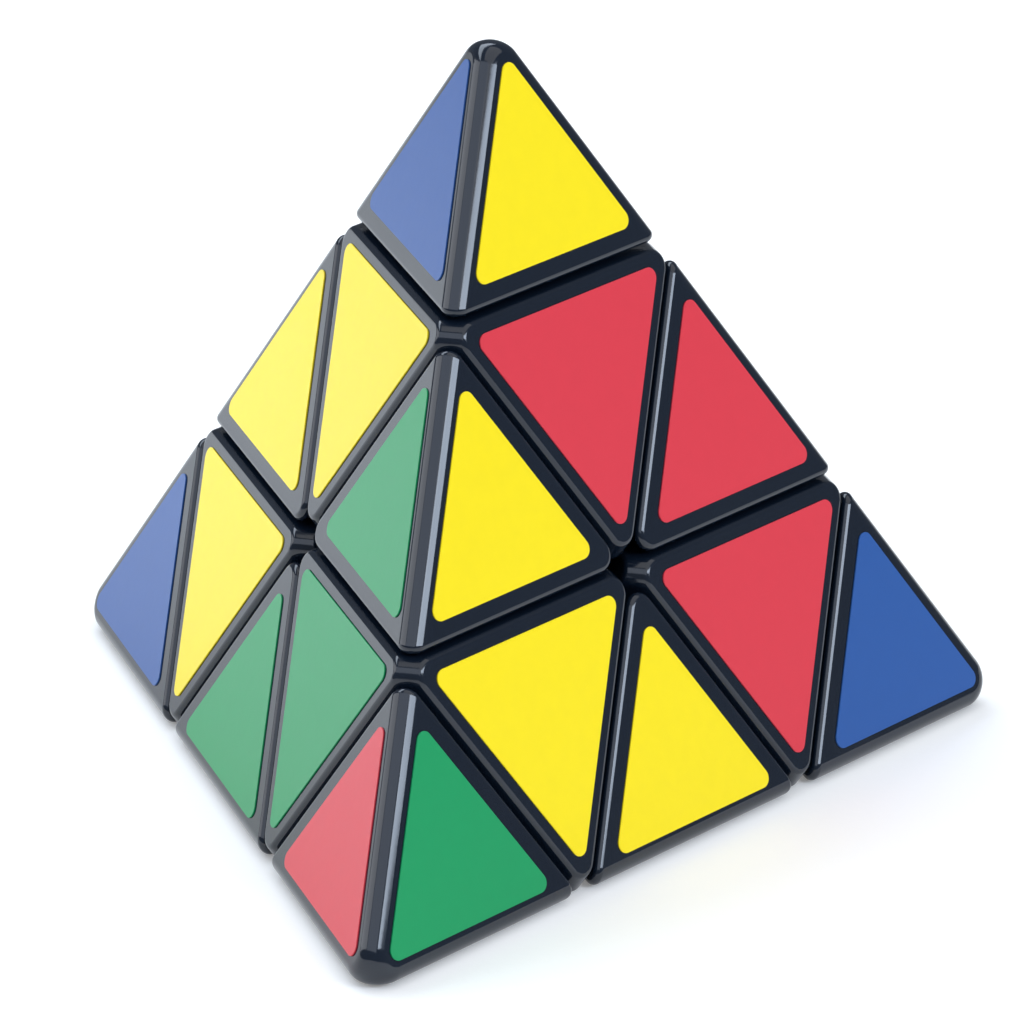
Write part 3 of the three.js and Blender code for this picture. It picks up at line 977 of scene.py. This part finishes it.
# %% The thickness of the film
sheet = add_node(film_tree, "GeometryNodeFillCurve", {"Curve": rounded.outputs["Curve"]}, mode="NGONS")
thick = add_node(
    film_tree,
    "GeometryNodeExtrudeMesh",
    {"Mesh": sheet.outputs["Mesh"], "Offset Scale": given["Thickness"], "Individual": False},
)
under = add_node(film_tree, "GeometryNodeFlipFaces", {"Mesh": sheet.outputs["Mesh"]})
closed = add_node(film_tree, "GeometryNodeJoinGeometry")
film_tree.links.new(thick.outputs["Mesh"], closed.inputs["Geometry"])
film_tree.links.new(under.outputs["Mesh"], closed.inputs["Geometry"])
welded = add_node(
    film_tree, "GeometryNodeMergeByDistance", {"Geometry": closed.outputs["Geometry"], "Distance": MERGE}
)
laid = add_node(
    film_tree,
    "GeometryNodeTransform",
    {"Geometry": welded.outputs["Geometry"], "Translation": given["Place"], "Rotation": given["Turn"]},
)
finish_tree(film_tree, laid.outputs["Geometry"], given)
print("film tree:", len(film_tree.nodes), "nodes")

# %% [markdown]
# ## Laying the stickers
#
# Each face of the puzzle has nine cells. A cell's centre is a weighted mean of the face's three
# corners, in ninths. Film on tips points away from the middle of the face, and film on axial
# and edge pieces points towards it. Thirty-six places could be typed in, but the rule can't slip
# on one of them. Which colour lies where is read from the CAD model's own material slots, so
# the puzzle stands in the same part-scrambled state.

# %% Lay one sticker
CORNER = FACE * 3  # core centre to a sharp corner
FACE_OPPOSITE = {"left": "right_face", "right": "left_face", "front": "back_face", "top": "bottom_face"}
COLOUR_OF = {row["node"]: row["material_slot"] for row in frame["record"]["subparts"]}
FILM_LIFT = 0.01 * MM


def lay_sticker(kind, body, opposite, weights, towards_middle):
    """One film triangle on the face opposite a corner, at the cell that the weights give."""
    node_name = f"sticker_{body}_{FACE_OPPOSITE[opposite]}"
    slot = COLOUR_OF[node_name]
    normal = -AXIS[opposite]
    centre = sum((AXIS[corner] * weight / 9 * CORNER for corner, weight in weights.items()), Vector())
    from_middle = centre - normal * FACE
    pointing = -from_middle if towards_middle else from_middle
    turn = turn_to(normal, pointing) @ Matrix.Rotation(pi / 2, 3, "Z")
    sticker = grown(
        f"Film-{body}-{FACE_OPPOSITE[opposite]}",
        bpy.data.meshes.new("empty"),
        film_tree,
        FILM[slot.removeprefix("sticker_")],
        Side=STICKER_SIDE[kind],
        Corner=STICKER_CORNER,
        Place=tuple(centre + normal * FILM_LIFT),
        Turn=tuple(turn.to_euler()),
    )
    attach(sticker, body)
    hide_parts(node_name)


# %% Lay all the stickers
for corner in CORNERS:
    for opposite in others_than(corner):
        other, last = others_than(corner, opposite)
        at_tip = {corner: 7, other: 1, last: 1}
        at_axial = {corner: 5, other: 2, last: 2}
        lay_sticker("tip", f"tip_{corner}", opposite, at_tip, towards_middle=False)
        lay_sticker("axial", f"axial_{corner}", opposite, at_axial, towards_middle=True)
for first, second in EDGES:
    for opposite in others_than(first, second):
        (third,) = others_than(first, second, opposite)
        at_edge = {first: 4, second: 4, third: 1}
        lay_sticker("edge", f"edge_{first}_{second}", opposite, at_edge, towards_middle=True)

# %% [markdown]
# ## The floor
#
# The puzzle stands on a light table: matt white paper with a faint glow from below, which keeps
# the shadows soft and open. A curved backdrop could rise behind it, but seen from above the
# floor fills the view, so one flat sheet is enough.

# %% Floor
FLOOR_REACH = 3  # metres from its middle to each side
FLOOR_BACK = 1.5  # metres from the puzzle back to its middle
floor_mesh = bpy.data.meshes.new("Floor")
bm = bmesh.new()
bmesh.ops.create_grid(bm, x_segments=1, y_segments=1, size=FLOOR_REACH)
bmesh.ops.translate(bm, verts=bm.verts, vec=(0, FLOOR_BACK, cad_low.z))
bm.to_mesh(floor_mesh)
bm.free()
floor = bpy.data.objects.new("Floor", floor_mesh)
scene.collection.objects.link(floor)
print("floor at", round(cad_low.z / MM, 2), "mm")

# %% Matt white paper
FIBRE = 0.8 * MM
paper, tree = new_material("Matt white paper")
place = add_node(tree, "ShaderNodeTexCoord").outputs["Object"]
fibres = add_node(tree, "ShaderNodeTexNoise", {"Vector": place, "Scale": 1 / FIBRE, "Detail": 3.0})
tooth = add_node(tree, "ShaderNodeBump", {"Height": fibres.outputs["Fac"], "Distance": 0.02 * MM})
matt = add_node(
    tree,
    "ShaderNodeBsdfPrincipled",
    {
        "Base Color": linear("#f3f1ed"),
        "Roughness": 0.7,
        "Normal": tooth.outputs["Normal"],
        "Emission Color": linear("#ffffff"),
        "Emission Strength": 0.2,
    },
)
finish_material(tree, matt)
floor_mesh.materials.append(paper)
print("material:", paper.name)

# %% [markdown]
# ## The lights
#
# Glossy black plastic looks like what it reflects, so each light is placed for its reflection.
# A narrow strip on the right draws the bright line down each rolled ridge, and a wide box in
# front lifts the rest of the rounding. A card on the left brightens the left side of the
# ridges. The left face mirrors the floor behind it, so a lamp there brightens that floor and
# lays a pale veil over the colours. The right side of the room stays dark, so the right face
# keeps deep colour. One big lamp could light all this, but then no reflection could be set on
# its own.

# %% Lights
def soft_box(name, place, width, height, radiance, colour="#ffffff", target=(0, 0, 0), roll=0):
    """A rectangular light that faces a target. White paper lit evenly has a radiance of about 1."""
    light = bpy.data.lights.new(name, "AREA")
    light.shape = "RECTANGLE"
    light.size = width
    light.size_y = height
    light.energy = radiance * pi * width * height
    light.color = linear(colour)[:3]
    lamp = bpy.data.objects.new(name, light)
    lamp.location = place
    facing = (Vector(target) - Vector(place)).to_track_quat("-Z", "Y").to_matrix()
    lamp.rotation_euler = (facing @ Matrix.Rotation(roll, 3, "Z")).to_euler()
    scene.collection.objects.link(lamp)


soft_box(
    "Right strip",
    place=(0.8, -0.34, 0.5),
    width=0.85,
    height=0.2,
    radiance=9.5,
    colour="#dcebff",
    roll=radians(-27),
)
soft_box("Front box", place=(-0.16, -0.9, 0.85), width=1.6, height=0.6, radiance=1.4, colour="#e4eeff")
soft_box(
    "Left card",
    place=(-1.19, -0.21, 0.48),
    width=1.25,
    height=0.45,
    radiance=2.2,
    colour="#f6f9ff",
    roll=radians(33),
)
soft_box(
    "Floor lamp",
    place=(-0.35, 0.22, 0.5),
    width=0.6,
    height=0.6,
    radiance=4.6,
    colour="#e3f0ff",
    target=(-0.6, 0.37, 0),
)
soft_box("Ceiling", place=(0.5, -0.1, 1.4), width=1.8, height=1.8, radiance=0.95)
print("lights:", len(bpy.data.lights))

# %% The rest of the room
room = bpy.data.worlds.new("Room")
room.use_nodes = True
room_light = room.node_tree.nodes["Background"].inputs
room_light["Color"].default_value = linear("#c4ccd8")
room_light["Strength"].default_value = 0.35
scene.world = room
scene.view_settings.view_transform = "Standard"
print("view:", scene.view_settings.view_transform)

# %% [markdown]
# ## The camera
#
# The camera looks down on the ridge between the left and the right face, from the front and a
# little to the right. A short lens close by would spread the near tip. A long lens from 83 cm
# away keeps the three rows of the puzzle almost equal. The camera is also rolled a little, so
# its place and two of its directions are given, and the third follows from them.

# %% Camera
CAMERA_PLACE = Vector((0.15176, -0.74908, 0.32656))
CAMERA_RIGHT = Vector((0.98000, 0.19880, 0.00869))
CAMERA_FORWARD = Vector((-0.18015, 0.90490, -0.38561))

camera_data = bpy.data.cameras.new("Camera")
camera_data.lens = 292.2
camera_data.clip_start = 0.05
camera = bpy.data.objects.new("Camera", camera_data)
camera_up = CAMERA_RIGHT.cross(CAMERA_FORWARD).normalized()
turn = Matrix((CAMERA_RIGHT, camera_up, -CAMERA_FORWARD)).transposed().to_4x4()
camera.matrix_world = Matrix.Translation(CAMERA_PLACE) @ turn
scene.collection.objects.link(camera)
scene.camera = camera
print("camera:", round(CAMERA_PLACE.length, 2), "m away,", round(camera_data.lens), "mm lens")
